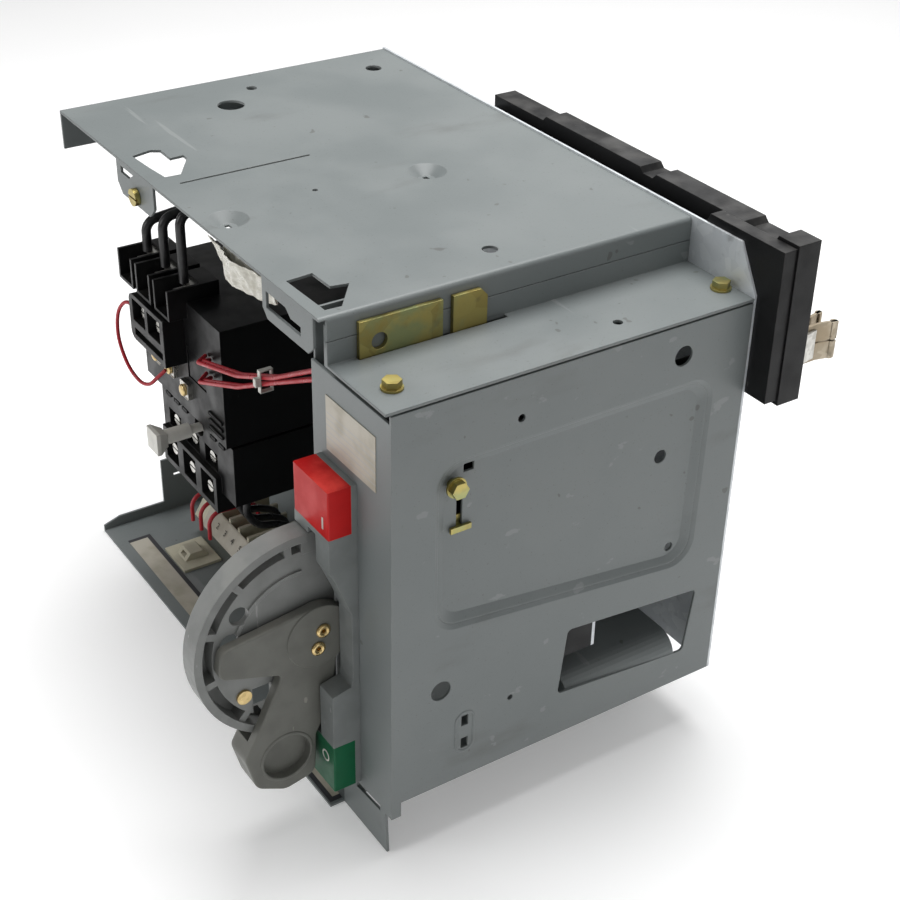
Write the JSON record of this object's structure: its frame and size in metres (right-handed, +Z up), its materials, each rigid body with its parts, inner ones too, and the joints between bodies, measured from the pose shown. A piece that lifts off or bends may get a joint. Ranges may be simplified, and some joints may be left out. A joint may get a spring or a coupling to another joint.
{
  "type": "plug-in motor control unit",
  "caption": "Open sheet-steel motor-control unit with a swing lever working a breaker, a contactor with overload relay, a terminal block and rear plug-in jaws.",
  "frame": {"origin": "centre of the chassis width and depth, on the underside of the bottom tray", "axes": "+X to the right seen from the front, +Y to the back, +Z up"},
  "size_m": [0.3835, 0.3597, 0.313],
  "materials": {
    "grey_paint": "semi-gloss grey enamel over sheet steel",
    "galvanised": "galvanised sheet, light spangle",
    "zinc_yellow": "yellow chromate zinc plate",
    "plated_steel": "bright plated steel",
    "cast_grey": "painted die casting, fine texture",
    "housing_grey": "moulded grey plastic",
    "red_cap": "moulded red plastic",
    "green_cap": "moulded green plastic",
    "black_mould": "black phenolic moulding",
    "stab_mould": "dark grey-brown moulded polyester",
    "cream_mould": "aged off-white moulding",
    "white_card": "blank printed strip",
    "clear_wrap": "folded translucent film",
    "brass": "dulled brass",
    "copper_coil": "varnished copper winding",
    "iron_core": "laminated iron",
    "red_wire": "red insulation",
    "black_wire": "black insulation"
  },
  "bodies": {
    "chassis": {"top_plate": "grey_paint", "ledge_plate": "grey_paint", "ledge_bolts": "zinc_yellow", "side_panel": "grey_paint", "divider": "grey_paint", "bottom_tray": "grey_paint", "back_plate": "galvanised", "starter_pan": "galvanised", "placard": "white_card", "tray_label": "white_card", "operator_housing": "housing_grey", "off_cap": "green_cap", "on_cap": "red_cap", "guard": "cast_grey", "guard_screw": "brass", "slide_guide": "galvanised", "breaker_case": "black_mould", "breaker_cover": "black_mould", "breaker_terminals": "plated_steel", "breaker_bracket": "galvanised", "contactor_base": "black_mould", "contactor_cover": "black_mould", "contactor_terminals": "plated_steel", "contactor_coil": "copper_coil", "magnet_core": "iron_core", "aux_block": "black_mould", "aux_screws": "plated_steel", "overload_relay": "black_mould", "overload_screws": "plated_steel", "load_terminals": "plated_steel", "pole_straps": "plated_steel", "reset_spring": "plated_steel", "terminal_block": "cream_mould", "marker_strip": "white_card", "terminal_screws": "plated_steel", "tie_mount": "cream_mould", "line_leads": "black_wire", "red_leads": "red_wire", "loop_leads": "red_wire", "cable_tie": "white_card", "plastic_sleeve": "clear_wrap", "stab_base": "stab_mould", "stab_cover": "stab_mould", "stab_jaws": "plated_steel", "jaw_springs": "plated_steel", "stab_screws": "plated_steel", "stab_leads": "black_wire", "stop_bolt": "zinc_yellow"},
    "lever_body": {"lever": "cast_grey", "lever_rivets": "brass", "lever_shaft": "plated_steel", "crank": "plated_steel"},
    "slide_body": {"drive_slide": "zinc_yellow"},
    "toggle_body": {"breaker_toggle": "black_mould"},
    "trip_body": {"trip_button": "red_cap"},
    "interlock_body": {"interlock_bar": "zinc_yellow"},
    "defeater_body": {"defeater_slide": "galvanised"},
    "latch_body": {"latch_screw": "brass"},
    "reset_body": {"reset_button": "cream_mould"},
    "carrier_body": {"contact_carrier": "black_mould"}
  },
  "joints": [
    {"name": "lever_swing", "type": "hinge", "parent": "chassis", "child": "lever_body", "pos_m": [0, -0.124, 0.127], "axis": [-1, 0, 0], "range_deg": [0, 140]},
    {"name": "drive_slide_travel", "type": "slide", "parent": "chassis", "child": "slide_body", "axis": [0, 0, 1], "range_m": [0, 0.0188]},
    {"name": "toggle_swing", "type": "hinge", "parent": "chassis", "child": "toggle_body", "pos_m": [0.144, -0.04318, 0.15], "axis": [-1, 0, 0], "range_deg": [0, 40]},
    {"name": "trip_press", "type": "slide", "parent": "chassis", "child": "trip_body", "axis": [0, 1, 0], "range_m": [0, 0.003], "stiffness_N_per_m": 200},
    {"name": "interlock_travel", "type": "slide", "parent": "chassis", "child": "interlock_body", "axis": [0, 1, 0], "range_m": [0, 0.012]},
    {"name": "defeater_travel", "type": "slide", "parent": "chassis", "child": "defeater_body", "axis": [0, 0, 1], "range_m": [0, 0.018]},
    {"name": "latch_turn", "type": "hinge", "parent": "chassis", "child": "latch_body", "pos_m": [-0.0744, -0.116, 0.29], "axis": [0, 1, 0], "range_deg": [0, 90]},
    {"name": "reset_press", "type": "slide", "parent": "chassis", "child": "reset_body", "axis": [0, 1, 0], "range_m": [0, 0.005], "stiffness_N_per_m": 300},
    {"name": "carrier_travel", "type": "slide", "parent": "chassis", "child": "carrier_body", "axis": [0, 1, 0], "range_m": [0, 0.006], "stiffness_N_per_m": 300}
  ],
  "couplings": [
    {"joint": "drive_slide_travel", "follows": "lever_swing", "m_per_rad": 0.0076915},
    {"joint": "toggle_swing", "follows": "lever_swing", "ratio": 0.28571}
  ]
}
